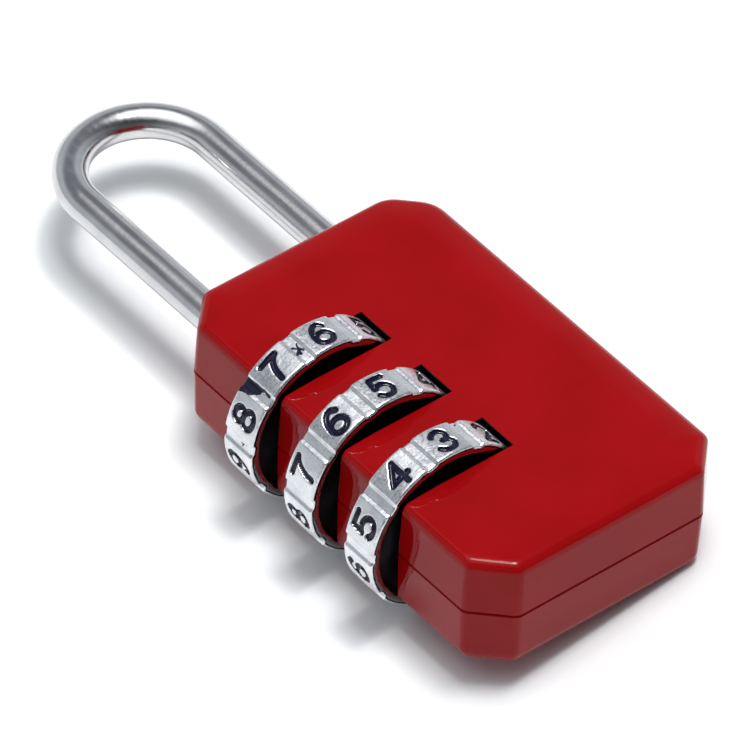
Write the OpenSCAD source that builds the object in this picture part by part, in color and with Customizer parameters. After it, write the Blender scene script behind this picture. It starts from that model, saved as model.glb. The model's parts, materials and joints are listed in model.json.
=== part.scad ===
// Luggage padlock with three number dials, built as its separate pieces.
// Case frame: X across the legs, Y along the legs toward the loop, Z through the thickness,
// with the origin at the middle of the case. The dials stand out of the back as well, so on a
// table the padlock leans on their rims and on the far edge of its back. place() gives every
// piece that lean and moves it into the part's own frame, whose origin is the bottom centre
// of the closed padlock's box.

/* [Case] */
// Width of the case, across the two legs
case_w = 22; // [20:0.2:28]
// Thickness of the case, both halves together
case_t = 9.4; // [8.8:0.1:12]
// Length of the 45 degree cut on each corner, seen from the front
corner_cut = 2.7; // [1:0.1:4]
// Radius round the edges of the front and back faces
edge_r = 0.9; // [0.4:0.05:1.4]
// Height of the slight crown of the front and back faces
crown = 0.12; // [0:0.01:0.3]
// Width of the band over which the crown rises
crown_run = 2.2; // [1:0.1:4]
// Draft of the side walls, as an inset at the face edges
draft = 0.12; // [0:0.01:0.3]
// Size of the small bevel each half has at the parting line
seam_bevel = 0.1; // [0.05:0.01:0.3]
// Thickness of the outer wall round the inner cavity
wall = 1.2; // [0.8:0.1:2]
// Solid zinc at each end of the cavity
cavity_end = 4.9; // [4.5:0.1:8]
// Thickness of the end wall behind the spring
end_wall = 2.06; // [1:0.02:6]

/* [Shackle] */
// Diameter of the steel wire
wire_d = 2.7; // [2:0.1:3.4]
// Distance between the two leg axes
leg_spacing = 11.4; // [9:0.1:14]
// Distance from the dial side of the case to the long leg's axis
leg_inset = 4.5; // [4:0.1:6]
// Clear height inside the loop, above the case
loop_clear = 19.7; // [10:0.1:40]
// Travel of the shackle from locked to open
lift = 4.5; // [3.6:0.1:5.6]
// Depth of the short leg in its blind hole
short_leg_in = 3.6; // [2:0.1:4.4]
// Length of the long leg below the lowest lug
leg_tail = 7.4; // [4:0.1:9]
// Length of the guide hole for the long leg
guide_l = 4.7; // [2:0.1:8]
// Height of the lugs above the wire
lug_h = 0.65; // [0.4:0.05:0.9]
// Width of the lugs round the wire
lug_w = 1.4; // [0.8:0.1:1.8]
// Length of the lugs along the wire
lug_l = 1.0; // [0.6:0.1:1.4]

/* [Dials] */
// Diameter over the number pads
dial_d = 13.6; // [12.6:0.1:17]
// Width of the dial rim
dial_w = 3.0; // [2.4:0.1:3.8]
// Distance from one dial to the next
dial_pitch = 6.65; // [6:0.05:9]
// Depth of the dips between the number pads
dip_depth = 0.2; // [0.1:0.05:0.5]
// Radius of the round bottom of a dip
dip_r = 0.8; // [0.6:0.1:2]
// Bevel on the edges of the rim
rim_bevel = 0.2; // [0.05:0.05:0.4]
// Depth of the ring recess in each side of the rim
side_recess = 0.7; // [0.1:0.05:0.9]
// Width of the rim left outside the ring recess
rim_band = 0.85; // [0.6:0.05:2]
// How far the hub stands out of each side of the rim
hub_out = 0.6; // [0.4:0.1:1]
// Wall of the hub
hub_wall = 0.6; // [0.4:0.05:1]
// Direction that the top digit faces, counted from +X toward +Z, in degrees
read_angle = 86; // [80:1:100]

/* [Clutch sleeves] */
// Wall of the sleeve
sleeve_wall = 0.5; // [0.3:0.05:0.8]
// Thickness of the flange that the lug passes through
flange_t = 1.0; // [0.7:0.1:1.3]
// Height of the ribs that key the sleeve to its dial
rib_h = 0.4; // [0.2:0.05:0.6]
// Width of the ribs
rib_w = 0.75; // [0.4:0.05:1]
// Length of the ribs
rib_l = 1.0; // [0.6:0.1:1.2]
// Number of ribs
rib_count = 5; // [1,2,5,10]
// Travel of the sleeves when the code is reset
reset_travel = 1.4; // [1.3:0.1:1.8]

/* [Springs and pins] */
// Diameter of the coil spring's wire
coil_wire_d = 0.45; // [0.3:0.05:0.6]
// Length of the coil spring in the locked padlock
coil_l = 4.6; // [3.6:0.1:7]
// Number of turns of the coil spring
coil_turns = 4.5; // [3:0.5:7]
// Thickness of the thrust washer
washer_t = 0.5; // [0.3:0.1:0.9]
// Thickness of the detent spring's strip
strip_t = 0.25; // [0.15:0.05:0.4]
// Width of each detent finger
finger_w = 2.2; // [1.4:0.1:2.8]
// Reach of a detent finger from its spine to its nose
finger_reach = 2.3; // [1.8:0.1:3]
// Diameter of the pins that join the two halves
pin_d = 1.6; // [1:0.1:2]
// Length of those pins
pin_l = 6.0; // [3:0.2:7]
// Distance of the pins from the ends and from the far side of the case
pin_inset = 3.0; // [2.6:0.1:4]

/* [Clearances] */
// Radial play of the long leg in the guide hole and in the flanges
leg_fit = 0.06; // [0.03:0.01:0.1]
// Radial play of the short leg in its hole
short_leg_fit = 0.15; // [0.1:0.05:0.3]
// Gap between a lug and the bore it moves in
lug_gap_r = 0.1; // [0.05:0.05:0.2]
// Extra width of a gate over the lug
gate_gap = 0.3; // [0.2:0.05:0.4]
// Gap between a lug and the flange above it
lug_gap = 0.2; // [0.1:0.05:0.4]
// Radial play of the sleeves in the dials and the case
sleeve_fit = 0.08; // [0.05:0.01:0.1]
// Play between the ribs and their notches
rib_gap = 0.1; // [0.06:0.01:0.15]
// Radial play of the dial hubs in their seats
hub_fit = 0.07; // [0.03:0.01:0.1]
// End play of the hubs in their seats
hub_end_gap = 0.1; // [0.05:0.05:0.2]
// Gap between the dial rim and each side of its slot
slot_gap = 0.2; // [0.15:0.05:0.4]
// Gap between the dial rim and the inner end of its slot
slot_end_gap = 0.6; // [0.3:0.1:1]
// Gap round the dial rim inside the case
rim_gap = 0.35; // [0.2:0.05:0.6]
// Gap between pieces that stack end to end
stack_gap = 0.05; // [0.02:0.01:0.1]
// Gap left where a spring bears on another piece
spring_gap = 0.02; // [0.01:0.01:0.05]
// Play round the joining pins
pin_fit = 0.02; // [0.01:0.01:0.05]

/* [Hidden] */
$fn = 64;
digits = 10;
over = 1;                                  // how far cutters run past what they cut
skin = 0.001;                              // thickness of the slices that the case's hull joins
shoulder = 0.25;                           // zinc left between a hub seat and the sleeve stop
rib_drop = 0.25;                           // distance of the ribs below their sleeve's flange
cavity_gap = 0.5;                          // zinc left between the dial pockets and the cavity
holder_wall = 0.8;                         // wall of the blocks that hold the detent spring
holder_l = 1.8;                            // length of those blocks
spine_h = 0.9;                             // height of the detent spring's spine
finger_foot = 0.5;                         // height of a finger's straight foot above the spine's middle
tip_rise = 1.9;                            // height of a finger's free tip above its nose
tip_back = 0.5;                            // distance of that tip in front of the spine

// radii, from the wire outward
wire_r = wire_d / 2;
guide_r = wire_r + leg_fit;
lug_r = wire_r + lug_h;
chamber_r = lug_r + lug_gap_r;             // bore of the sleeves and of the chamber above them
sleeve_r = chamber_r + sleeve_wall;
core_r = sleeve_r + sleeve_fit;            // bore round the sleeves
rib_r = sleeve_r + rib_h;
notch_r = rib_r + rib_gap;
hub_r = notch_r + hub_wall;
seat_r = hub_r + hub_fit;
dial_r = dial_d / 2;
pocket_r = dial_r + rim_gap;
coil_r = (wire_r + core_r) / 2;            // middle of the coil spring's wire

// heights along a dial's axis, counted from the middle of its rim
hub_top = dial_w / 2 + hub_out;
sleeve_top = hub_top + hub_end_gap + shoulder;
flange_low = sleeve_top - flange_t;
lug_top = flange_low - lug_gap;
lug_low = lug_top - lug_l;
sleeve_low = sleeve_top - dial_pitch + stack_gap;
rib_low = flange_low - rib_l - rib_drop;
notch_low = rib_low - rib_gap;             // below this the ribs run free in the dial

// places in the case frame
first_dial = guide_l + stack_gap + lift + lug_top;
spring_zone = -sleeve_low + stack_gap + washer_t + 2 * spring_gap + coil_l;
case_l = first_dial + 2 * dial_pitch + spring_zone + end_wall;
leg_x = leg_inset - case_w / 2;
short_x = leg_x + leg_spacing;
end_y = case_l / 2;
bend_y = end_y + loop_clear - (leg_spacing / 2 - wire_r);
washer_top = dial_y(2) + sleeve_low - stack_gap;
coil_top = washer_top - washer_t - spring_gap;
pocket_low = coil_top - coil_l - spring_gap;
slot_w = dial_w + 2 * slot_gap;
slot_end_x = leg_x + sqrt(pow(dial_r, 2) - pow(case_t / 2, 2)) + slot_end_gap;
cavity_x = leg_x + pocket_r + cavity_gap;
cavity_z = case_t / 2 - wall;
cavity_y = case_l / 2 - cavity_end;
detent_angle = read_angle - 90;
nose_x = leg_x + (dial_r - dip_depth + spring_gap) * cos(detent_angle);
nose_z = (dial_r - dip_depth + spring_gap) * sin(detent_angle);
spine_x = nose_x + finger_reach;

// The lean on a table: a flat surface touches the dials and the round far edge of the back.
edge_x = case_w / 2 - draft - edge_r;      // middle of that edge's round
edge_z = case_t / 2 - crown - edge_r;      // its distance below the parting plane
edge_far = norm([edge_x - leg_x, edge_z]);
lean = asin((dial_r - edge_r) / edge_far) - atan2(edge_z, edge_x - leg_x);

// bottom centre of the closed padlock's box, once it leans
axis_x = leg_x * cos(lean);
axis_z = -leg_x * sin(lean);
low_x = axis_x - dial_r;
high_x = edge_x * cos(lean) + edge_z * sin(lean) + edge_r;
top_y = bend_y + leg_spacing / 2 + wire_r;
base = [(low_x + high_x) / 2, (top_y - end_y) / 2, axis_z - dial_r];

function dial_y(i) = case_l / 2 - first_dial - i * dial_pitch;

// corners of the case outline, moved inward by d
function outline(d) =
    let (x = case_w / 2 - d, y = case_l / 2 - d, c = corner_cut - d * (2 - sqrt(2)))
    [[x - c, y], [x, y - c], [x, c - y], [x - c, -y], [c - x, -y], [-x, c - y], [-x, y - c], [c - x, y]];

// inset and height of each layer of a half, from the parting line to the face
function layers() =
    let (h = case_t / 2)
    concat(
        [[seam_bevel, 0], [0, seam_bevel]],
        [for (a = [0 : 15 : 90]) [draft + edge_r * (1 - cos(a)), h - crown - edge_r * (1 - sin(a))]],
        [[draft + edge_r + crown_run / 2, h - crown / 4], [draft + edge_r + crown_run, h]]
    );

// closed outline of a strip of thickness t that follows the points p
function normal(p, i) =
    let (a = p[max(i - 1, 0)], b = p[min(i + 1, len(p) - 1)], d = (b - a) / norm(b - a))
    [-d[1], d[0]];
function ribbon(p, t) = concat(
    [for (i = [0 : len(p) - 1]) p[i] + normal(p, i) * t / 2],
    [for (i = [len(p) - 1 : -1 : 0]) p[i] - normal(p, i) * t / 2]
);

// shapes shared by several pieces ------------------------------------------------------------

module place() {
    translate(-base) rotate([0, lean, 0]) children();
}

// a cylinder along Y about the long leg's axis, from y0 to y1
module rod(r, y0, y1) {
    translate([leg_x, y1, 0]) rotate([90, 0, 0]) cylinder(r = r, h = y1 - y0);
}

// a box from one corner to the other
module block(low, high) {
    translate(low) cube(high - low);
}

module half_blank() {
    hull()
        for (layer = layers())
            translate([0, 0, max(layer[1] - skin, 0)])
                linear_extrude(skin) polygon(outline(layer[0]));
}

// the opening of one dial: its slot through both faces and the side, and its round pocket
module dial_opening(i) {
    y = dial_y(i);
    block([-case_w / 2 - over, y - slot_w / 2, -case_t / 2 - over],
          [slot_end_x, y + slot_w / 2, case_t / 2 + over]);
    rod(pocket_r, y - slot_w / 2, y + slot_w / 2);
    block([leg_x + hub_r, y - slot_w / 2, -cavity_z / 2], [cavity_x + over, y + slot_w / 2, cavity_z / 2]);
    rod(seat_r, y - hub_top - hub_end_gap, y + hub_top + hub_end_gap);
}

// the bores along the long leg: guide, lug chamber, sleeves and spring
module leg_bores() {
    stop_y = dial_y(0) + sleeve_top + stack_gap;
    rod(guide_r, stop_y, end_y + over);
    rod(chamber_r, stop_y - over, dial_y(0) + lug_top + lift + stack_gap);
    rod(core_r, pocket_low, stop_y);
}

module short_leg_hole() {
    translate([short_x, end_y + over, 0])
        rotate([90, 0, 0]) cylinder(r = wire_r + short_leg_fit, h = short_leg_in + short_leg_fit + over);
}

// the hollow beside the dials, with the two grooved blocks that hold the detent spring
module cavity() {
    difference() {
        block([cavity_x, -cavity_y, -cavity_z], [case_w / 2 - wall, cavity_y, cavity_z]);
        for (s = [-1, 1])
            translate([spine_x + strip_t / 2, s * cavity_y, 0])
                difference() {
                    cube([strip_t + 2 * holder_wall, 2 * holder_l, 2 * cavity_z + over], center = true);
                    cube([strip_t + 2 * stack_gap, 2 * holder_l + over, 2 * case_t], center = true);
                }
    }
}

module pin_places() {
    for (x = [leg_x + leg_spacing / 2, case_w / 2 - pin_inset], s = [-1, 1])
        translate([x, s * (case_l / 2 - pin_inset), 0]) children();
}

module case_half() {
    difference() {
        half_blank();
        for (i = [0 : 2])
            dial_opening(i);
        leg_bores();
        short_leg_hole();
        cavity();
        pin_places() cylinder(r = pin_d / 2 + pin_fit, h = pin_l + 2 * stack_gap, center = true);
    }
}

// pieces -------------------------------------------------------------------------------------

module front_case() {
    color("firebrick") place() case_half();
}

module back_case() {
    color("brown") place() mirror([0, 0, 1]) case_half();
}

module lug(i) {
    y = dial_y(i);
    intersection() {
        rod(lug_r, y + lug_low, y + lug_top);
        block([leg_x, y + lug_low - over, -lug_w / 2], [leg_x + lug_r + over, y + lug_top + over, lug_w / 2]);
    }
}

// a leg along -Y from y1 to y0 with a bevelled end
module leg(x, y0, y1) {
    bevel = wire_r / 4;
    translate([x, y1, 0]) rotate([90, 0, 0]) cylinder(r = wire_r, h = y1 - y0 - bevel);
    translate([x, y0 + bevel, 0]) rotate([90, 0, 0]) cylinder(r1 = wire_r, r2 = wire_r - bevel, h = bevel);
}

module shackle() {
    color("silver") place() {
        leg(leg_x, dial_y(2) + lug_low - leg_tail, bend_y);
        leg(short_x, end_y - short_leg_in, bend_y);
        translate([(leg_x + short_x) / 2, bend_y, 0])
            rotate_extrude(angle = 180)
                translate([leg_spacing / 2, 0]) circle(r = wire_r);
        for (i = [0 : 2])
            lug(i);
    }
}

// half section of the dial's rim and hub, radius across and width up
module dial_section() {
    h = dial_w / 2;
    b = rim_bevel;
    recess = h - side_recess;
    band = dial_r - rim_band;
    polygon([
        [wire_r, -hub_top], [hub_r, -hub_top], [hub_r, -recess], [band, -recess], [band, -h],
        [dial_r - b, -h], [dial_r, b - h], [dial_r, h - b], [dial_r - b, h],
        [band, h], [band, recess], [hub_r, recess], [hub_r, hub_top], [wire_r, hub_top]
    ]);
}

// dips between the pads round the rim
module dips() {
    for (k = [0 : digits - 1])
        rotate(detent_angle + k * 360 / digits)
            translate([dial_r - dip_depth + dip_r, 0, -dial_w])
                cylinder(r = dip_r, h = 2 * dial_w);
}

// bars round the axis that cut the notches, or make the ribs
module spokes(count, r, w, z0, z1) {
    for (k = [0 : count - 1])
        rotate(k * 360 / count)
            translate([chamber_r, -w / 2, z0])
                cube([r - chamber_r, w, z1 - z0]);
}

// turns a piece drawn about Z so that its axis lies along +Y at dial i
module on_axis(i) {
    translate([leg_x, dial_y(i), 0]) rotate([-90, 0, 0]) mirror([0, 1, 0]) children();
}

module dial(i) {
    color("lightgray") place() on_axis(i)
        difference() {
            rotate_extrude() dial_section();
            dips();
            translate([0, 0, -hub_top - over]) cylinder(r = core_r, h = 2 * (hub_top + over));
            translate([0, 0, -hub_top - over]) cylinder(r = notch_r, h = hub_top + over + notch_low);
            spokes(digits, notch_r, rib_w + 2 * rib_gap, notch_low - over, hub_top + over);
        }
}

module clutch_sleeve(i) {
    color("goldenrod") place() on_axis(i)
        difference() {
            union() {
                translate([0, 0, sleeve_low]) cylinder(r = sleeve_r, h = sleeve_top - sleeve_low);
                intersection() {
                    spokes(rib_count, rib_r + over, rib_w, rib_low, rib_low + rib_l);
                    translate([0, 0, rib_low]) cylinder(r = rib_r, h = rib_l);
                }
            }
            translate([0, 0, sleeve_low - over]) cylinder(r = chamber_r, h = flange_low - sleeve_low + over);
            translate([0, 0, flange_low - over]) cylinder(r = guide_r, h = flange_t + 2 * over);
            intersection() {
                translate([0, 0, flange_low - over]) cylinder(r = chamber_r, h = flange_t + 2 * over);
                translate([0, -(lug_w + gate_gap) / 2, flange_low - over])
                    cube([chamber_r + over, lug_w + gate_gap, flange_t + 2 * over]);
            }
        }
}

module thrust_washer() {
    color("gainsboro") place()
        difference() {
            rod(sleeve_r, washer_top - washer_t, washer_top);
            rod(guide_r + leg_fit, washer_top - washer_t - over, washer_top + over);
        }
}

// a helix about Y swept with a round wire
module clutch_spring() {
    sides = 8;
    per_turn = 24;
    steps = coil_turns * per_turn;
    rise = coil_l - coil_wire_d;
    points = [
        for (i = [0 : steps], k = [0 : sides - 1])
            let (
                a = 360 * i / per_turn,
                b = 360 * k / sides,
                r = coil_r + coil_wire_d / 2 * cos(b),
                y = coil_top - coil_wire_d / 2 - rise * i / steps + coil_wire_d / 2 * sin(b)
            )
            [leg_x + r * cos(a), y, r * sin(a)]
    ];
    sides_of = [
        for (i = [0 : steps - 1], k = [0 : sides - 1])
            let (n = (k + 1) % sides)
            [i * sides + k, i * sides + n, (i + 1) * sides + n, (i + 1) * sides + k]
    ];
    ends = [
        [for (k = [sides - 1 : -1 : 0]) k],
        [for (k = [0 : sides - 1]) steps * sides + k]
    ];
    color("slategray") place() polyhedron(points = points, faces = concat(sides_of, ends));
}

// one finger, from the spine up to the nose that rests in a dip and back to its free tip
module finger(i) {
    nose_r = dip_r / 2;
    foot_x = spine_x + strip_t / 2;
    foot_z = stack_gap + spine_h / 2 - cavity_z;
    path = concat(
        [[foot_x, foot_z], [foot_x, foot_z + finger_foot]],
        [for (a = [130 : 20 : 230]) [nose_x + strip_t / 2 + nose_r * (1 + cos(a)), nose_z - nose_r * sin(a)]],
        [[spine_x - tip_back, nose_z + tip_rise]]
    );
    translate([0, dial_y(i) + finger_w / 2, 0])
        rotate([90, 0, 0]) linear_extrude(finger_w) polygon(ribbon(path, strip_t));
}

module detent_spring() {
    spine_y = cavity_y - stack_gap;
    low = stack_gap - cavity_z;
    tab_l = holder_l * 2 / 3;
    color("lightsteelblue") place() {
        block([spine_x, -spine_y, low], [spine_x + strip_t, spine_y, low + spine_h]);
        for (y = [-spine_y, spine_y - tab_l])
            block([spine_x, y, low], [spine_x + strip_t, y + tab_l, -low]);
        for (i = [0 : 2])
            finger(i);
    }
}

module case_pins() {
    color("dimgray") place() pin_places() cylinder(r = pin_d / 2, h = pin_l, center = true);
}

front_case();
back_case();
shackle();
dial(0);  // dial_1
dial(1);  // dial_2
dial(2);  // dial_3
clutch_sleeve(0);  // clutch_sleeve_1
clutch_sleeve(1);  // clutch_sleeve_2
clutch_sleeve(2);  // clutch_sleeve_3
thrust_washer();
clutch_spring();
detent_spring();
case_pins();
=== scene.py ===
"""Luggage combination padlock: finished pieces, materials and a small studio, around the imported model."""
import json
import math

import bmesh
import bpy
import numpy as np
from mathutils import Matrix, Vector, noise

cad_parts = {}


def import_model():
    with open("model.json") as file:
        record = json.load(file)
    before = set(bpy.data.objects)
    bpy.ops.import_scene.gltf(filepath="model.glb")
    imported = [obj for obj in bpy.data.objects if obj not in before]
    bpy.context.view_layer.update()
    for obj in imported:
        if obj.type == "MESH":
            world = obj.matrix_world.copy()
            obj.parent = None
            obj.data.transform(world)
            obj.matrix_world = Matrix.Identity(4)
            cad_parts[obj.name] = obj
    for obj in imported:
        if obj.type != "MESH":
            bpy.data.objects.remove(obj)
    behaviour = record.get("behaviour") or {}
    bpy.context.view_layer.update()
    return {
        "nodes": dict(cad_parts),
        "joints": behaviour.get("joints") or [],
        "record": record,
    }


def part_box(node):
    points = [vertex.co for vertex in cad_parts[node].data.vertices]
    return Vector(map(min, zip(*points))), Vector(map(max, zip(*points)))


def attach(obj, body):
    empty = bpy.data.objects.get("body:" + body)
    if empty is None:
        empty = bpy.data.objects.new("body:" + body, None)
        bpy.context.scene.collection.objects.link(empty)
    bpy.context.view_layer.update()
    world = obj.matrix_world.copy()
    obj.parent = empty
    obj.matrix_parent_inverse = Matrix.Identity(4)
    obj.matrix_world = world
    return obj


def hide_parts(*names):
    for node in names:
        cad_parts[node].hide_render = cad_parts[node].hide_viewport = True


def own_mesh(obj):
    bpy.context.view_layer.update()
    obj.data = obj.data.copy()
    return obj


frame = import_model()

MM = 0.001

# ---- places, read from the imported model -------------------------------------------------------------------
joints = {joint["name"]: joint for joint in frame["joints"]}
loop_mount = frame["record"]["mounts"][0]
axis_at = Vector(joints["dial_1_turn"]["pos_m"])      # a point on the axis of the dials and the long leg
loop_at = Vector(loop_mount["pos_m"])                 # middle of the wire at the top of the loop
legs_across = loop_at - axis_at
lean = math.atan2(-legs_across.z, legs_across.x)      # the padlock leans on its dials
leg_spacing = 2 * math.hypot(legs_across.x, legs_across.z)
wire_r = loop_mount["dims"]["r_mm"] * MM
case_low, case_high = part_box("front_case")
case_mid_y = (case_low.y + case_high.y) / 2
case_l = case_high.y - case_low.y
dial_low, dial_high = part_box("dial_1")
dial_r = (dial_high.x - dial_low.x) / 2
dial_ys = [joints[f"dial_{i}_turn"]["pos_m"][1] - case_mid_y for i in (1, 2, 3)]
bend_y = loop_at.y - case_mid_y - leg_spacing / 2
lift_travel = joints["shackle_lift"]["range_m"][1]

# ---- sizes that the finished pieces share with the CAD, in metres -----------------------------------------
over = MM                              # how far cutters run past what they cut
stack_gap = 0.05 * MM                  # play along the axis between stacked pieces
close_gap = 0.02 * MM                  # play round the pins and below the coil spring
case_w = 22.0 * MM
case_t = 9.4 * MM
corner_cut = 2.7 * MM
leg_inset = 4.5 * MM
edge_r = 0.9 * MM
crown = 0.12 * MM
crown_run = 2.2 * MM
draft = 0.12 * MM
seam_bevel = 0.13 * MM
wall = 1.2 * MM
cavity_end = 4.9 * MM
strip_t = 0.25 * MM
rail_w = 0.8 * MM
rail_l = 1.8 * MM
slot_w = 3.4 * MM
pocket_r = 7.15 * MM
seat_r = 3.77 * MM
seat_half = 2.2 * MM
core_r = 2.68 * MM
chamber_r = 2.1 * MM
guide_r = 1.41 * MM
lug_r = 2.0 * MM
lug_w = 1.4 * MM
lug_l = 1.0 * MM
lug_low = 0.25 * MM
short_leg_in = 3.6 * MM
short_leg_fit = 0.15 * MM
leg_tail = 7.4 * MM
sleeve_top = 2.45 * MM
rim_w = 3.0 * MM
hub_r = 3.7 * MM
hub_half = 2.1 * MM
notch_r = 3.1 * MM
notch_low = -0.15 * MM
notch_w = 0.95 * MM
rim_band = 0.85 * MM
side_recess = 0.7 * MM
pin_d = 1.6 * MM
pin_l = 6.0 * MM
pin_inset = 3.0 * MM
read_angle = math.radians(86)
digit_step = math.radians(36)
top_digits = (6, 5, 3)                 # the digit that faces up on each dial, in the locked pose shown

leg_x = leg_inset - case_w / 2
short_x = leg_x + leg_spacing
slot_end_gap = 0.6 * MM
slot_shaded_end = 1.1 * MM                   # length of a slot's end that gets the near-black inside finish: painted shade
slot_overlap = 0.3 * MM
window_overlap = 0.5 * MM              # how far the opening beside a dial runs into the hollow
cavity_gap = 0.5 * MM
slot_end_x = leg_x + math.sqrt(dial_r ** 2 - (case_t / 2) ** 2) + slot_end_gap
slot_shaded_end_x = slot_end_x - slot_shaded_end
cavity_x = leg_x + pocket_r + cavity_gap
cavity_z = case_t / 2 - wall

# case frame (origin at the middle of the case, Z square to its face) to the part's own frame
PLACE = (Matrix.Translation((axis_at.x, case_mid_y, axis_at.z)) @ Matrix.Rotation(lean, 4, "Y")
         @ Matrix.Translation((-leg_x, 0, 0)))


# ---- mesh helpers -----------------------------------------------------------------------------------------
MERGE = 0.0005 * MM                    # vertices closer than this are one


def smoothstep(low, high, x):
    t = np.clip((x - low) / (high - low), 0, 1)
    return t * t * (3 - 2 * t)


def new_piece(name, verts, faces, materials, smooth_angle=None):
    """A closed mesh object, made from its vertices and faces."""
    mesh = bpy.data.meshes.new(name)
    mesh.from_pydata(verts, [], faces)
    mesh.validate()
    bm = bmesh.new()
    bm.from_mesh(mesh)
    bpy.data.meshes.remove(mesh)
    return from_bmesh(name, bm, materials, smooth_angle)


def smooth(piece, angle):
    piece.data.polygons.foreach_set("use_smooth", [True] * len(piece.data.polygons))
    piece.data.set_sharp_from_angle(angle=math.radians(angle))


def from_bmesh(name, bm, materials, smooth_angle=None):
    """A mesh object, its faces outward, smooth except at edges sharper than smooth_angle degrees."""
    bmesh.ops.recalc_face_normals(bm, faces=bm.faces)
    mesh = bpy.data.meshes.new(name)
    bm.to_mesh(mesh)
    bm.free()
    piece = bpy.data.objects.new(name, mesh)
    bpy.context.scene.collection.objects.link(piece)
    for material in materials:
        mesh.materials.append(material)
    if smooth_angle:
        smooth(piece, smooth_angle)
    return piece


def apply_modifiers(piece):
    bpy.context.view_layer.update()
    evaluated = piece.evaluated_get(bpy.context.evaluated_depsgraph_get())
    mesh = bpy.data.meshes.new_from_object(evaluated)
    old = piece.data
    piece.modifiers.clear()
    piece.data = mesh
    bpy.data.meshes.remove(old)


def combine(piece, others, operation="DIFFERENCE"):
    """Subtracts or adds the other pieces, one after another, and removes them."""
    for other in others:
        modifier = piece.modifiers.new("combine", "BOOLEAN")
        modifier.operation = operation
        modifier.solver = "EXACT"
        modifier.object = other
    apply_modifiers(piece)
    for other in others:
        bpy.data.objects.remove(other)


def merge_slivers(piece):
    """Closes the hairline gaps and drops the loose edges that booleans and bevels leave behind."""
    bm = bmesh.new()
    bm.from_mesh(piece.data)
    bmesh.ops.remove_doubles(bm, verts=bm.verts, dist=MERGE)
    bmesh.ops.dissolve_degenerate(bm, edges=bm.edges, dist=MERGE)
    bmesh.ops.delete(bm, geom=[e for e in bm.edges if not e.link_faces], context="EDGES")
    bmesh.ops.delete(bm, geom=[v for v in bm.verts if not v.link_faces], context="VERTS")
    bm.to_mesh(piece.data)
    bm.free()


def ring_faces(ring_count, size, closed_ends=True):
    faces = []
    for i in range(ring_count - 1):
        for j in range(size):
            k = (j + 1) % size
            faces.append((i * size + j, i * size + k, (i + 1) * size + k, (i + 1) * size + j))
    if closed_ends:
        faces.append(tuple(range(size - 1, -1, -1)))
        faces.append(tuple((ring_count - 1) * size + j for j in range(size)))
    return faces


def rod(r, x, y0, y1, material, sides=96):
    """A closed cylinder along Y."""
    rings = [[(x + r * math.cos(a), y, r * math.sin(a))
              for a in (2 * math.pi * k / sides for k in range(sides))] for y in (y0, y1)]
    return new_piece("rod", rings[0] + rings[1], ring_faces(2, sides), [material])


def block(low, high, material):
    bm = bmesh.new()
    bmesh.ops.create_cube(bm, size=1)
    for v in bm.verts:
        v.co = Vector([(l + h) / 2 + c * (h - l) for l, h, c in zip(low, high, v.co)])
    return from_bmesh("block", bm, [material])


# ---- materials --------------------------------------------------------------------------------------------
def shader(name, **values):
    """A material with one Principled shader, its values set on the shader's own sockets."""
    material = bpy.data.materials.new(name)
    material.use_nodes = True
    nodes = material.node_tree.nodes
    principled = next(n for n in nodes if n.type == "BSDF_PRINCIPLED")
    for key, value in values.items():
        principled.inputs[key.replace("_", " ")].default_value = value
    return material, nodes, material.node_tree.links, principled


def noise_node(nodes, links, scale, detail=3.0, roughness=0.5, stretch=None):
    """3-D noise on object coordinates; scale is in features per metre."""
    coordinates = nodes.new("ShaderNodeTexCoord")
    texture = nodes.new("ShaderNodeTexNoise")
    texture.inputs["Scale"].default_value = scale
    texture.inputs["Detail"].default_value = detail
    texture.inputs["Roughness"].default_value = roughness
    source = coordinates.outputs["Object"]
    if stretch:
        mapping = nodes.new("ShaderNodeMapping")
        mapping.inputs["Scale"].default_value = stretch
        links.new(source, mapping.inputs["Vector"])
        source = mapping.outputs["Vector"]
    links.new(source, texture.inputs["Vector"])
    return texture.outputs["Fac"]


def ramp(nodes, links, source, stops):
    """Colour or value along a noise; stops are (place, colour)."""
    node = nodes.new("ShaderNodeValToRGB")
    elements = node.color_ramp.elements
    while len(elements) < len(stops):
        elements.new(0.5)
    for element, (place, value) in zip(elements, stops):
        element.position = place
        element.color = (*value, 1) if hasattr(value, "__len__") else (value, value, value, 1)
    links.new(source, node.inputs["Fac"])
    return node.outputs["Color"]


def bump(nodes, links, principled, source, height, before=None, socket="Normal"):
    """Bumps of that height on a normal socket, on top of the bumps given as before."""
    node = nodes.new("ShaderNodeBump")
    node.inputs["Distance"].default_value = height
    links.new(source, node.inputs["Height"])
    if before is not None:
        links.new(before, node.inputs["Normal"])
    links.new(node.outputs["Normal"], principled.inputs[socket])
    return node.outputs["Normal"]


def gloss_paint(name, dark, bright):
    """Paint under its own clear gloss: its colour drifts a little, and it has a faint orange peel."""
    material, nodes, links, principled = shader(
        name, Specular_IOR_Level=0.0, Coat_Weight=1.0, Coat_Roughness=0.03, Coat_IOR=1.25)
    cloud = noise_node(nodes, links, 180, detail=2)
    links.new(ramp(nodes, links, cloud, [(0.3, dark), (0.7, bright)]), principled.inputs["Base Color"])
    links.new(ramp(nodes, links, cloud, [(0.3, 0.3), (0.7, 0.36)]), principled.inputs["Roughness"])
    orange_peel = noise_node(nodes, links, 420, detail=0)
    bump(nodes, links, principled, orange_peel, 0.0025 * MM, socket="Coat Normal")
    return material


# bare metal inside the case, coloured near-black: painted shade in the hollows, pockets, bores and slot ends
def case_inside_shade():
    material, nodes, links, principled = shader("case_inside_shade", Metallic=0.6)
    grain = noise_node(nodes, links, 1500)
    links.new(ramp(nodes, links, grain, [(0.3, 0.012), (0.7, 0.03)]), principled.inputs["Base Color"])
    links.new(ramp(nodes, links, grain, [(0.3, 0.4), (0.7, 0.6)]), principled.inputs["Roughness"])
    bump(nodes, links, principled, grain, 0.02 * MM)
    return material


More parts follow.
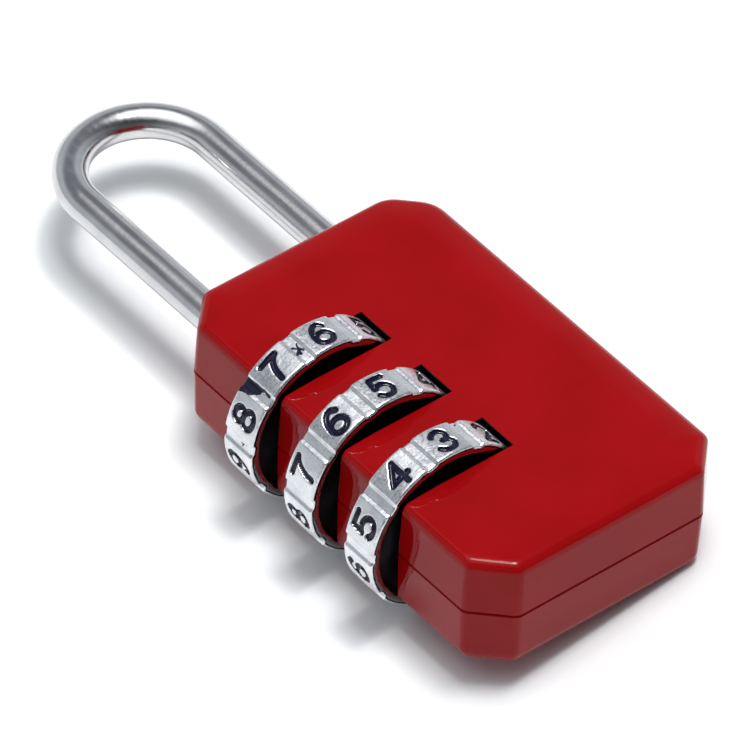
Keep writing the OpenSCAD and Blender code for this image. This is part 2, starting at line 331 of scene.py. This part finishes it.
def dial_zinc():
    material, nodes, links, principled = shader("dial_zinc", Metallic=1.0)
    stain = noise_node(nodes, links, 700, detail=4)
    links.new(ramp(nodes, links, stain, [(0.3, (0.64, 0.65, 0.67)), (0.7, (0.83, 0.84, 0.86))]),
              principled.inputs["Base Color"])
    pits = noise_node(nodes, links, 5200, detail=3, roughness=0.6)
    links.new(ramp(nodes, links, pits, [(0.35, 0.24), (0.65, 0.42)]), principled.inputs["Roughness"])
    grain = bump(nodes, links, principled, pits, 0.010 * MM)
    swell = noise_node(nodes, links, 1300, detail=2)
    bump(nodes, links, principled, swell, 0.02 * MM, before=grain)
    return material


def number_paint():
    material, nodes, links, principled = shader(
        "number_paint", Specular_IOR_Level=0.0, Coat_Weight=1.0, Coat_Roughness=0.05, Coat_IOR=1.4)
    cloud = noise_node(nodes, links, 1800, detail=2)
    links.new(ramp(nodes, links, cloud, [(0.3, (0.004, 0.003, 0.014)), (0.7, (0.009, 0.007, 0.030))]),
              principled.inputs["Base Color"])
    links.new(ramp(nodes, links, cloud, [(0.3, 0.12), (0.7, 0.24)]), principled.inputs["Roughness"])
    bump(nodes, links, principled, noise_node(nodes, links, 3200, detail=2), 0.012 * MM)
    return material


def shackle_steel():
    material, nodes, links, principled = shader("shackle_steel", Metallic=1.0)
    stain = noise_node(nodes, links, 500, detail=3)
    links.new(ramp(nodes, links, stain, [(0.3, (0.60, 0.59, 0.60)), (0.7, (0.70, 0.69, 0.69))]),
              principled.inputs["Base Color"])
    draw = noise_node(nodes, links, 2400, detail=3, stretch=(1, 0.08, 1))
    links.new(ramp(nodes, links, draw, [(0.35, 0.13), (0.65, 0.24)]), principled.inputs["Roughness"])
    marks = bump(nodes, links, principled, draw, 0.002 * MM)
    bump(nodes, links, principled, noise_node(nodes, links, 3500, detail=2), 0.004 * MM, before=marks)
    return material


def plain_metal(name, colour, spread, rough, grain_scale, stretch=None):
    """Turned, drawn or stamped metal: colour and roughness vary with its grain."""
    material, nodes, links, principled = shader(name, Metallic=1.0)
    cloud = noise_node(nodes, links, grain_scale / 4, detail=2)
    dark = [c * (1 - spread) for c in colour]
    links.new(ramp(nodes, links, cloud, [(0.3, dark), (0.7, colour)]), principled.inputs["Base Color"])
    grain = noise_node(nodes, links, grain_scale, detail=3, stretch=stretch)
    links.new(ramp(nodes, links, grain, [(0.3, rough[0]), (0.7, rough[1])]), principled.inputs["Roughness"])
    bump(nodes, links, principled, grain, 0.004 * MM)
    return material


def floor_paper():
    material, nodes, links, principled = shader("floor_paper", Roughness=0.9)
    fibre = noise_node(nodes, links, 400, detail=3)
    links.new(ramp(nodes, links, fibre, [(0.3, (0.87, 0.885, 0.89)), (0.7, (0.89, 0.90, 0.905))]),
              principled.inputs["Base Color"])
    return material


PAINT = gloss_paint("case_paint", (0.265, 0.0022, 0.0030), (0.305, 0.0030, 0.0042))
# the slot walls get the case's red paint made darker: painted shade inside the slots
SHADED_SLOT = gloss_paint("slot_painted_shade", (0.120, 0.0013, 0.0018), (0.150, 0.0018, 0.0024))
SHADED_INSIDE = case_inside_shade()
ZINC = dial_zinc()
SIDE = plain_metal("dial_side", (0.55, 0.53, 0.55), 0.25, (0.08, 0.14), 1200)
# near-black metal on the dials' side recesses and hub: painted shade
SHADED_RECESS = plain_metal("dial_recess_shade", (0.03, 0.03, 0.035), 0.4, (0.35, 0.5), 2500)
INK = number_paint()
STEEL = shackle_steel()
BRASS = plain_metal("sleeve_brass", (0.72, 0.52, 0.22), 0.2, (0.2, 0.35), 2500, (1, 6, 1))
SPRING = plain_metal("spring_steel", (0.46, 0.47, 0.50), 0.25, (0.22, 0.38), 2000)
PIN = plain_metal("pin_steel", (0.42, 0.42, 0.44), 0.2, (0.25, 0.4), 2500)


# ---- case -------------------------------------------------------------------------------------------------
# round between each side wall and the next, counted from the corner between +X and +X+Y turning toward +Y
CORNER_ROUNDS = tuple(r * MM for r in (2.4, 2.2, 0.9, 0.9, 0.8, 1.0, 0.9, 0.9))
CORNER_INNER = 0.65 * MM               # the same round at the inner end of the crown
MOUTH_BEVEL = 0.05 * MM                # on the edges of the slots and bores
MOUTH_ANGLE = 60                       # degrees; edges sharper than this get it
SMOOTH_ANGLE = 20
CORNER_STEPS = 7
FILLET_STEPS = 9
CROWN_STEPS = 7
# share of the fillet's width and of the crown's run on each side, counted from +X turning toward +Y
FRONT_ROUNDS = (1.4, 1.15, 1.0, 0.9, 0.6, 0.9, 1.0, 1.15)
BACK_ROUNDS = (1.0, 1.0, 1.0, 0.9, 0.6, 0.3, 0.35, 0.8)
SIDE_CROWNS = (1.0, 1.0, 1.0, 1.15, 1.3, 1.15, 1.0, 1.0)


def case_ring(rounds, inset, round_inset, crown_inset, z):
    """One closed ring of the case: its outline moved in by inset and by each side's share of the others."""
    half = (case_w / 2, case_l / 2)
    cut_off = (half[0] + half[1] - corner_cut) / math.sqrt(2)
    sides = [(half[0], cut_off, half[1], cut_off)[k % 4] for k in range(8)]
    inward = [inset + round_inset * rounds[k] + crown_inset * SIDE_CROWNS[k] for k in range(8)]
    ring = []
    for k in range(8):
        a, b = math.radians(45 * k), math.radians(45 * (k + 1))
        r = CORNER_ROUNDS[k] + (CORNER_INNER - CORNER_ROUNDS[k]) * crown_inset / crown_run
        d, e = sides[k] - inward[k] - r, sides[(k + 1) % 8] - inward[(k + 1) % 8] - r
        det = math.cos(a) * math.sin(b) - math.sin(a) * math.cos(b)
        cx = (d * math.sin(b) - e * math.sin(a)) / det
        cy = (e * math.cos(a) - d * math.cos(b)) / det
        for step in range(CORNER_STEPS + 1):
            t = a + (b - a) * step / CORNER_STEPS
            ring.append((cx + r * math.cos(t), cy + r * math.sin(t), z))
    return ring


def case_blank(name, rounds):
    """A solid half above the parting plane: bevelled seam, drafted wall, fillet and slightly crowned face."""
    h = case_t / 2
    slope = math.atan(2 * crown / crown_run)
    rings = [case_ring(rounds, seam_bevel, 0, 0, 0), case_ring(rounds, 0, 0, 0, seam_bevel)]
    for step in range(FILLET_STEPS + 1):
        a = (math.pi / 2 - slope) * step / FILLET_STEPS
        z = h - crown - edge_r * (1 - math.sin(a))
        rings.append(case_ring(rounds, draft, edge_r * (1 - math.cos(a)), 0, z))
    round_end = edge_r * (1 - math.sin(slope))
    low = h - crown - edge_r * (1 - math.cos(slope))
    for step in range(1, CROWN_STEPS + 1):
        s = step / CROWN_STEPS
        rings.append(case_ring(rounds, draft, round_end, crown_run * s, h - (h - low) * (1 - s) ** 2))
    count = len(rings[0])
    verts = [p for ring in rings for p in ring]
    return new_piece(name, verts, ring_faces(len(rings), count), [PAINT, SHADED_SLOT, SHADED_INSIDE])


def hollow_cutter():
    """The hollow beside the dials, less the rails on both sides of the detent spring's ends."""
    cavity_y = case_l / 2 - cavity_end
    hollow = block((cavity_x, -cavity_y, -cavity_z), (case_w / 2 - wall, cavity_y, cavity_z), SHADED_INSIDE)
    strip = frame["nodes"]["detent_spring"]
    to_case = PLACE.inverted() @ strip.matrix_world
    strip_x = max((to_case @ v.co).x for v in strip.data.vertices) - strip_t / 2
    rails = []
    for end in (-1, 1):
        for side in (-1, 1):
            x = sorted((strip_x + side * (strip_t / 2 + stack_gap), strip_x + side * (strip_t / 2 + rail_w)))
            y = sorted((end * (cavity_y - rail_l), end * (cavity_y + over)))
            rails.append(block((x[0], y[0], -case_t), (x[1], y[1], case_t), SHADED_INSIDE))
    combine(hollow, rails)
    return hollow


def case_cutters():
    """Everything that is taken out of both halves."""
    far = case_w
    stop_y = dial_ys[0] + sleeve_top + stack_gap
    chamber_top = dial_ys[0] + lug_low + lug_l + lift_travel + stack_gap
    spring_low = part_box("clutch_spring")[0].y - case_mid_y - close_gap
    end_y = case_l / 2
    cutters = []
    for y in dial_ys:
        cutters.append(block((-far, y - slot_w / 2, -case_t), (slot_shaded_end_x, y + slot_w / 2, case_t), SHADED_SLOT))
        # the slot's end gets the near-black inside finish: painted shade
        cutters.append(block((slot_shaded_end_x - slot_overlap, y - slot_w / 2, -case_t),
                             (slot_end_x, y + slot_w / 2, case_t), SHADED_INSIDE))
        cutters.append(rod(pocket_r, leg_x, y - slot_w / 2, y + slot_w / 2, SHADED_INSIDE, sides=128))
        cutters.append(block((leg_x + hub_r, y - slot_w / 2, -cavity_z / 2),
                             (cavity_x + window_overlap, y + slot_w / 2, cavity_z / 2), SHADED_INSIDE))
        cutters.append(rod(seat_r, leg_x, y - seat_half, y + seat_half, SHADED_INSIDE))
    cutters.append(rod(guide_r, leg_x, stop_y, end_y + over, SHADED_INSIDE))
    cutters.append(rod(chamber_r, leg_x, stop_y - over, chamber_top, SHADED_INSIDE))
    cutters.append(rod(core_r, leg_x, spring_low, stop_y, SHADED_INSIDE))
    cutters.append(rod(wire_r + short_leg_fit, short_x, end_y - short_leg_in - short_leg_fit, end_y + over,
                       SHADED_INSIDE))
    cutters.append(hollow_cutter())
    for x in (leg_x + leg_spacing / 2, case_w / 2 - pin_inset):
        for side in (-1, 1):
            y = side * (case_l / 2 - pin_inset)
            half = pin_l / 2 + stack_gap
            pin_hole = rod(pin_d / 2 + close_gap, 0, -half, half, SHADED_INSIDE, sides=48)
            pin_hole.data.transform(Matrix.Translation((x, y, 0)) @ Matrix.Rotation(math.pi / 2, 4, "X"))
            cutters.append(pin_hole)
    return cutters


def case_half(name, rounds, flip):
    """One half of the case, cut, with a fine bevel on its cut edges; the back half is turned over."""
    piece = case_blank(name, rounds)
    combine(piece, case_cutters())
    bevel = piece.modifiers.new("mouths", "BEVEL")
    bevel.width = MOUTH_BEVEL
    bevel.segments = 2
    bevel.limit_method = "ANGLE"
    bevel.angle_limit = math.radians(MOUTH_ANGLE)
    apply_modifiers(piece)
    merge_slivers(piece)
    if flip:
        piece.data.transform(Matrix.Scale(-1, 4, (0, 0, 1)))
        piece.data.flip_normals()
    piece.data.transform(PLACE)
    smooth(piece, SMOOTH_ANGLE)
    weighted = piece.modifiers.new("normals", "WEIGHTED_NORMAL")
    weighted.keep_sharp = True
    apply_modifiers(piece)
    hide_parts(name)
    piece.name = name + "_shell"
    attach(piece, "case")
    return piece


# ---- shackle ----------------------------------------------------------------------------------------------
WIRE_SIDES = 64
BEND_STEPS = 72
TIP_BEVEL = 0.35 * MM


def shackle():
    """One bent wire: a bevelled tip at each end, straight legs, the bend, and three lugs on the long leg."""
    stations = []                      # (middle of the section, direction of the wire, radius)
    long_end = dial_ys[2] + lug_low - leg_tail
    short_end = case_l / 2 - short_leg_in
    for x, y_end in ((leg_x, long_end), (short_x, short_end)):
        leg = [(Vector((x, y_end, 0)), wire_r - TIP_BEVEL)]
        for k in range(1, 4):
            a = math.pi / 2 * k / 3
            leg.append((Vector((x, y_end + TIP_BEVEL * (1 - math.cos(a)), 0)),
                        wire_r - TIP_BEVEL * (1 - math.sin(a))))
        for k in range(1, 12):
            leg.append((Vector((x, y_end + TIP_BEVEL + (bend_y - y_end - TIP_BEVEL) * k / 12, 0)), wire_r))
        stations.append(leg)
    path = [(middle, Vector((0, 1, 0)), r) for middle, r in stations[0]]
    centre = Vector(((leg_x + short_x) / 2, bend_y, 0))
    for k in range(BEND_STEPS + 1):
        a = math.pi * (1 - k / BEND_STEPS)
        middle = centre + leg_spacing / 2 * Vector((math.cos(a), math.sin(a), 0))
        path.append((middle, Vector((math.sin(a), -math.cos(a), 0)), wire_r))
    path += [(middle, Vector((0, -1, 0)), r) for middle, r in reversed(stations[1])]
    verts = []
    for middle, along, r in path:
        side = along.cross(Vector((0, 0, 1)))
        for k in range(WIRE_SIDES):
            a = 2 * math.pi * k / WIRE_SIDES
            verts.append(middle + r * (math.cos(a) * side + math.sin(a) * Vector((0, 0, 1))))
    wire = new_piece("shackle_wire", verts, ring_faces(len(path), WIRE_SIDES), [STEEL])
    combine(wire, [lug(y) for y in dial_ys], "UNION")
    wire.data.transform(PLACE)
    smooth(wire, 35)
    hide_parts("shackle")
    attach(wire, "shackle")


def lug(y):
    """A block with a round top that stands out of the long leg toward the inside."""
    half = math.asin(lug_w / 2 / lug_r)
    section = [(leg_x, -lug_w / 2)]
    section += [(leg_x + lug_r * math.cos(a), lug_r * math.sin(a)) for a in np.linspace(-half, half, 9)]
    section += [(leg_x, lug_w / 2)]
    verts = [(x, y + h, z) for h in (lug_low, lug_low + lug_l) for x, z in section]
    return new_piece("lug", verts, ring_faces(2, len(section)), [STEEL])


# ---- dials ------------------------------------------------------------------------------------------------
TURN = 720                             # steps round a dial
ACROSS = 52                            # steps across its rim
SWELL = 0.012 * MM                     # unevenness of the casting
DIP_DEPTH = 0.2 * MM
DIP_FLOOR = 0.3 * MM                   # half width of a dip's flat floor
DIP_MOUTH = 0.62 * MM                  # half width of a dip at the pads' surface
RIM_BEVEL = 0.16 * MM                  # round at the rim's upper edge; the lower one is worn wider
RIM_WEAR = 0.9                         # share that wear adds to it at most
SIDE_BEVEL = 0.06 * MM                 # on the edges of the dial's sides and hub
NOTCH_WALL = 0.02                      # width of a notch's wall in the bore, in radians
DIGIT_H = 2.50 * MM
DIGIT_W = 1.90 * MM
STROKE = 0.28 * MM                     # half width of an engraved stroke at the surface
STROKE_WALL = 0.14 * MM                # width of its sloping wall
ENGRAVE = 0.24 * MM
PAINT_LOW = 0.02 * MM                  # how far the paint's edge lies below the pads
PAINT_DISH = 0.07 * MM                 # depth of the hollow in its surface
PAINT_PAST = 0.12 * MM                 # how far the paint's skin runs on beside and below the metal's surface
PAINT_THICK = 0.08 * MM
FILM = 0.03 * MM                       # a smear's thickness
FILM_RAGGED = 0.10 * MM                # unevenness of its edge
FILM_MAX = 0.02 * MM                   # the most that paint stands above the metal


def arc(cx, cy, rx, ry, start, end, steps=14):
    return [(cx + rx * math.cos(math.radians(start + (end - start) * k / steps)),
             cy + ry * math.sin(math.radians(start + (end - start) * k / steps))) for k in range(steps + 1)]


# strokes of each digit in a box from (-1, -1) to (1, 1), counted in half widths and half heights
DIGITS = {
    0: [arc(0, 0, 0.86, 0.86, 0, 360, 28)],
    1: [[(-0.5, 0.45), (0.12, 0.84), (0.12, -0.86)]],
    2: [arc(0, 0.36, 0.82, 0.50, 165, -35) + [(-0.82, -0.84), (0.86, -0.84)]],
    3: [arc(-0.02, 0.42, 0.72, 0.44, 160, -90), arc(-0.02, -0.42, 0.84, 0.44, 90, -162)],
    4: [[(0.42, -0.86), (0.42, 0.86), (-0.88, -0.36), (0.90, -0.36)]],
    5: [[(0.74, 0.85), (-0.58, 0.85), (-0.74, 0.02)] + arc(-0.02, -0.32, 0.84, 0.54, 140, -152, 18)],
    6: [arc(0, -0.36, 0.82, 0.50, 0, 360, 24), arc(0.16, -0.36, 0.98, 1.22, 176, 76, 14) + [(0.72, 0.62)]],
    7: [[(-0.84, 0.85), (0.84, 0.85)] + arc(1.05, -0.86, 1.27, 1.71, 99, 180, 10)],
    8: [arc(0, 0.44, 0.66, 0.42, 0, 360, 22), arc(0, -0.42, 0.82, 0.46, 0, 360, 24)],
    9: [arc(0, 0.36, 0.82, 0.50, 0, 360, 24), arc(-0.16, 0.36, 0.98, 1.22, -4, -104, 14) + [(-0.72, -0.62)]],
}
# paint left on the rim beside the digits: (dial, angle in degrees, half width, strokes in millimetres)
SMEARS = [
    (0, 140, 0.34, [[(-0.42, 1.25), (-0.25, 0.75), (-0.02, 0.2)], [(0.1, 1.15), (0.05, 0.7), (0.12, 0.1)]]),
    (0, 139, 0.12, [[(0.1, 0.2), (0.28, -0.5), (0.22, -0.95)]]),
    (0, 104, 0.07, [[(-0.25, 0.42), (0.0, 0.0), (-0.12, -0.5)], [(0.22, 0.5), (0.05, 0.05), (0.3, -0.3)]]),
    (0, 104, 0.05, [[(-0.1, -0.1), (-0.42, -0.45)]]),
    (0, 176, 0.08, [[(-0.3, -0.3), (0.12, -0.55)], [(0.0, -0.2), (0.1, -0.8)]]),
    (2, 68, 0.06, [[(0.0, 1.1), (0.25, 1.25)]]),
]


def distance_to(strokes, u, v):
    """Distance from each point (u, v) to the nearest stroke."""
    nearest = np.full(u.shape, 1.0)
    for stroke in strokes:
        for (x0, y0), (x1, y1) in zip(stroke, stroke[1:]):
            dx, dy = x1 - x0, y1 - y0
            length = dx * dx + dy * dy
            t = np.clip(((u - x0) * dx + (v - y0) * dy) / length, 0, 1) if length else 0
            nearest = np.minimum(nearest, np.hypot(u - x0 - t * dx, v - y0 - t * dy))
    return nearest


def noise_grid(angles, ys, scale, seed):
    """Smooth noise over a rim, from -1 to 1."""
    out = np.empty((len(angles), len(ys)))
    for i, a in enumerate(angles):
        for j, y in enumerate(ys):
            place = Vector((dial_r * math.cos(a), y, dial_r * math.sin(a))) * scale
            out[i, j] = noise.noise(place + Vector((seed, 0, 0)))
    return out


def rim_shape(index, angles, ys):
    """Radius of the metal and of the paint at each point of a dial's rim."""
    a, y = np.meshgrid(angles, ys, indexing="ij")
    half_step = digit_step / 2
    from_dip = np.abs((a - read_angle) % digit_step - half_step) * dial_r
    dip = DIP_DEPTH * (1 - smoothstep(DIP_FLOOR, DIP_MOUTH, from_dip))
    swell = noise_grid(angles, ys, 900, 10 * index)
    metal = dial_r - dip - SWELL * (1 + swell)
    paint = metal - PAINT_PAST
    groove = np.zeros_like(metal)
    for k in range(10):
        digit = (top_digits[index] + k) % 10
        centre = read_angle + k * digit_step
        u = -((a - centre + math.pi) % (2 * math.pi) - math.pi) * dial_r
        near = np.abs(u) < half_step * dial_r
        half_w, half_h = (DIGIT_W - STROKE) / 2, (DIGIT_H - STROKE) / 2
        strokes = [[(px * half_w, py * half_h) for px, py in stroke] for stroke in DIGITS[digit]]
        gap = distance_to(strokes, u, y)
        cut_here = 1 - smoothstep(STROKE - STROKE_WALL, STROKE, gap)
        groove = np.where(near, np.maximum(groove, cut_here), groove)
        level = dial_r - SWELL - PAINT_LOW - PAINT_DISH * (1 - np.clip(gap / STROKE, 0, 1) ** 2)
        paint = np.where(near & (gap < STROKE + PAINT_PAST), level, paint)
    metal = metal - ENGRAVE * groove
    for dial, angle, width, strokes in SMEARS:
        if dial == index:
            u = -((a - math.radians(angle) + math.pi) % (2 * math.pi) - math.pi) * dial_r
            gap = distance_to([[(px * MM, py * MM) for px, py in stroke] for stroke in strokes], u, y)
            gap += FILM_RAGGED * noise_grid(angles, ys, 3000, 50 + index)
            film = metal + FILM * (1 - gap / (width * MM))
            paint = np.where(gap < 1.6 * width * MM, np.maximum(paint, film), paint)
    return metal, paint


def dial(index):
    """A number dial: padded and engraved rim, recessed sides, hub, and a notched bore."""
    angles = np.linspace(0, 2 * math.pi, TURN, endpoint=False)
    ys = np.linspace(-rim_w / 2, rim_w / 2, ACROSS + 1)
    metal, paint = rim_shape(index, angles, ys)
    from_edge = rim_w / 2 - np.abs(ys)
    chip = 0.5 + 0.5 * noise_grid(angles, ys, 2300, 30 + index)
    bevel = RIM_BEVEL * (1 + RIM_WEAR * chip * (ys < 0))
    shrink = bevel * (1 - np.sqrt(np.clip(1 - (1 - np.clip(from_edge / bevel, 0, 1)) ** 2, 0, 1)))
    metal = metal - shrink
    paint = np.minimum(paint, metal + FILM_MAX)
    inner = dial_r - rim_band
    recess = rim_w / 2 - side_recess
    from_notch = np.abs((angles % digit_step + digit_step / 2) % digit_step - digit_step / 2)
    notch_half = notch_w / 2 / notch_r
    in_notch = 1 - smoothstep(notch_half, notch_half + NOTCH_WALL, from_notch)
    bore = core_r + (notch_r - core_r) * in_notch
    below = [  # (radius, height) from the rim's lower edge to the bore's lower end
        (inner + SIDE_BEVEL, -rim_w / 2), (inner, -rim_w / 2 + SIDE_BEVEL), (inner, -recess),
        (hub_r + SIDE_BEVEL, -recess), (hub_r, -recess - SIDE_BEVEL), (hub_r, -hub_half + SIDE_BEVEL),
        (hub_r - SIDE_BEVEL, -hub_half), (notch_r, -hub_half), (notch_r, notch_low)]
    above = [(r, -y) for r, y in below[:7]]
    rings = [(metal[:, j], ys[j]) for j in range(ACROSS, -1, -1)]
    rings += [(np.full(TURN, r), y) for r, y in below]
    rings += [(bore, notch_low), (bore, hub_half)]
    rings += [(np.full(TURN, r), y) for r, y in reversed(above)]
    verts = np.empty((len(rings), TURN, 3))
    for i, (r, y) in enumerate(rings):
        verts[i, :, 0] = leg_x + r * np.cos(angles)
        verts[i, :, 1] = dial_ys[index] + y
        verts[i, :, 2] = r * np.sin(angles)
    faces = ring_faces(len(rings), TURN, closed_ends=False)
    last = (len(rings) - 1) * TURN
    faces += [(last + j, last + (j + 1) % TURN, (j + 1) % TURN, j) for j in range(TURN)]
    name = f"dial_{index + 1}"
    piece = new_piece(name + "_casting", verts.reshape(-1, 3).tolist(), faces, [ZINC, SIDE, SHADED_RECESS], 50)
    # material of each band of faces, from the rim's upper edge down and through the bore back up to it
    finish_of = [0] * ACROSS + [1, 1, 1] + [2] * 4 + [0] * 5 + [2] * 4 + [1, 1]
    finish_of += [0] * (len(rings) - len(finish_of) - 1) + [1]
    piece.data.polygons.foreach_set("material_index", np.repeat(finish_of, TURN))
    piece.data.transform(PLACE)
    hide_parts(name)
    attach(piece, name)
    numbers(index, angles, ys, metal, paint)


def numbers(index, angles, ys, metal, paint):
    """The paint in a dial's engraved numbers: a closed skin wherever the paint stands above the metal."""
    shown = paint > metal - FILM
    keep = np.zeros((TURN, ACROSS), bool)
    corners = [(0, 0), (1, 0), (0, 1), (1, 1)]
    for di, dj in corners:
        keep |= np.roll(shown, -di, axis=0)[:, dj:ACROSS + dj]
    for _ in range(2):                 # two cells that meet only at a corner get a third beside them
        ahead = np.roll(keep, -1, axis=0)
        rising = keep[:, :-1] & ahead[:, 1:] & ~keep[:, 1:] & ~ahead[:, :-1]
        falling = keep[:, 1:] & ahead[:, :-1] & ~keep[:, :-1] & ~ahead[:, 1:]
        keep[:, 1:] |= rising
        keep[:, :-1] |= falling
    bm = bmesh.new()
    made = {}

    def vert(i, j):
        if (i, j) not in made:
            r = paint[i, j]
            made[i, j] = bm.verts.new((leg_x + r * math.cos(angles[i]), dial_ys[index] + ys[j],
                                       r * math.sin(angles[i])))
        return made[i, j]

    for i, j in np.argwhere(keep):
        n = (i + 1) % TURN
        bm.faces.new((vert(i, j), vert(i, j + 1), vert(n, j + 1), vert(n, j)))
    top = list(bm.faces)
    under = bmesh.ops.extrude_face_region(bm, geom=top, use_keep_orig=True)
    for v in (g for g in under["geom"] if isinstance(g, bmesh.types.BMVert)):
        out = Vector((v.co.x - leg_x, 0, v.co.z)).normalized()
        v.co -= out * PAINT_THICK
    piece = from_bmesh(f"dial_{index + 1}_numbers", bm, [INK], 60)
    piece.data.transform(PLACE)
    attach(piece, f"dial_{index + 1}")


# ---- inner pieces -----------------------------------------------------------------------------------------
FINGER_BEND = 0.22 * MM                # how far a pad presses the nose of a detent finger back


def finish_node(node, material):
    """A CAD node keeps its shape and gets its material."""
    piece = frame["nodes"][node]
    piece.data.materials.clear()
    piece.data.materials.append(material)


def spring_copy(node, name, smooth_angle):
    """A copy of a CAD spring, shown instead of it, whose shape may follow what presses on it."""
    source = frame["nodes"][node]
    piece = source.copy()
    piece.data = source.data.copy()
    piece.parent = None
    piece.matrix_world = source.matrix_world.copy()
    piece.name = name
    bpy.context.scene.collection.objects.link(piece)
    piece.data.materials.clear()
    piece.data.materials.append(SPRING)
    smooth(piece, smooth_angle)
    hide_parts(node)
    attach(piece, "case")
    return piece


def coil_spring():
    """A copy of the CAD coil, with a mesh of its own, shown instead of it."""
    piece = spring_copy("clutch_spring", "clutch_spring_coil", 60)
    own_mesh(piece)


def detent_spring():
    """The strip with its fingers bent back as a pad holds them, so that a turning dial clears them."""
    piece = spring_copy("detent_spring", "detent_spring_strip", 30)
    piece.data.transform(PLACE.inverted() @ piece.matrix_world)
    nose_x = min(v.co.x for v in piece.data.vertices)
    spine_x = max(v.co.x for v in piece.data.vertices)
    for v in piece.data.vertices:
        v.co.x += FINGER_BEND * ((spine_x - v.co.x) / (spine_x - nose_x)) ** 2
    piece.data.transform(piece.matrix_world.inverted() @ PLACE)


# ---- studio -----------------------------------------------------------------------------------------------
CAMERA_AZIMUTH = -34.706
CAMERA_ELEVATION = 48.455
CAMERA_ROLL = -5.935
CAMERA_DISTANCE = 634.6 * MM
CAMERA_AIM = Vector((0.860, -2.957, 4.280)) * MM
CAMERA_LENS = 432.0                    # focal length in mm
SENSOR_WIDTH = 36
LIGHT_DISTANCE = 0.9


def direction(azimuth, elevation):
    """Unit vector from the object toward a camera or light; azimuth 0 is in front, at -Y."""
    a, e = math.radians(azimuth), math.radians(elevation)
    return Vector((math.sin(a) * math.cos(e), -math.cos(a) * math.cos(e), math.sin(e)))


def camera():
    data = bpy.data.cameras.new("camera")
    data.lens = CAMERA_LENS
    data.sensor_width = SENSOR_WIDTH
    data.clip_start = 0.01
    data.clip_end = 20
    piece = bpy.data.objects.new("camera", data)
    bpy.context.scene.collection.objects.link(piece)
    back = direction(CAMERA_AZIMUTH, CAMERA_ELEVATION)
    turn = back.to_track_quat("Z", "Y").to_matrix().to_4x4()
    roll = Matrix.Rotation(math.radians(CAMERA_ROLL), 4, "Z")
    piece.matrix_world = Matrix.Translation(CAMERA_AIM + back * CAMERA_DISTANCE) @ turn @ roll
    bpy.context.scene.camera = piece


def light(name, azimuth, elevation, size, power):
    """A square area light that faces the padlock."""
    data = bpy.data.lights.new(name, "AREA")
    data.shape = "SQUARE"
    data.size = size
    data.energy = power
    piece = bpy.data.objects.new(name, data)
    bpy.context.scene.collection.objects.link(piece)
    toward = direction(azimuth, elevation)
    turn = toward.to_track_quat("Z", "Y").to_matrix().to_4x4()
    piece.matrix_world = Matrix.Translation(CAMERA_AIM + toward * LIGHT_DISTANCE) @ turn


def world():
    """Pale near the horizon, darker above it, bright straight overhead, and dimmer in front."""
    scene_world = bpy.data.worlds.new("studio")
    bpy.context.scene.world = scene_world
    scene_world.use_nodes = True
    nodes, links = scene_world.node_tree.nodes, scene_world.node_tree.links
    background = next(n for n in nodes if n.type == "BACKGROUND")
    coordinates = nodes.new("ShaderNodeTexCoord")
    split = nodes.new("ShaderNodeSeparateXYZ")
    links.new(coordinates.outputs["Generated"], split.inputs["Vector"])
    colour = ramp(nodes, links, split.outputs["Z"],
                  [(0.0, (0.48, 0.51, 0.53)), (0.42, (0.50, 0.53, 0.56)), (0.58, (0.20, 0.21, 0.24)),
                   (0.78, (0.18, 0.19, 0.21)), (0.90, (1.35, 1.38, 1.42)), (1.0, (1.65, 1.68, 1.72))])
    links.new(colour, background.inputs["Color"])
    front = nodes.new("ShaderNodeMapRange")
    front.inputs["From Min"].default_value = -0.9
    front.inputs["From Max"].default_value = 0.2
    front.inputs["To Min"].default_value = 0.2
    front.inputs["To Max"].default_value = 1.1
    links.new(split.outputs["Y"], front.inputs["Value"])
    links.new(front.outputs["Result"], background.inputs["Strength"])


def floor():
    bm = bmesh.new()
    bmesh.ops.create_grid(bm, x_segments=4, y_segments=4, size=1.5)
    piece = from_bmesh("floor", bm, [floor_paper()])


case_half("front_case", FRONT_ROUNDS, False)
case_half("back_case", BACK_ROUNDS, True)
shackle()
for number in range(3):
    dial(number)
for sleeve in ("clutch_sleeve_1", "clutch_sleeve_2", "clutch_sleeve_3"):
    finish_node(sleeve, BRASS)
finish_node("thrust_washer", SPRING)
coil_spring()
detent_spring()
finish_node("case_pins", PIN)

camera()
world()
floor()
light("key", azimuth=76, elevation=80, size=0.32, power=4.5)
light("lamp", azimuth=78, elevation=76, size=0.12, power=1.8)
bpy.context.scene.view_settings.view_transform = "Standard"
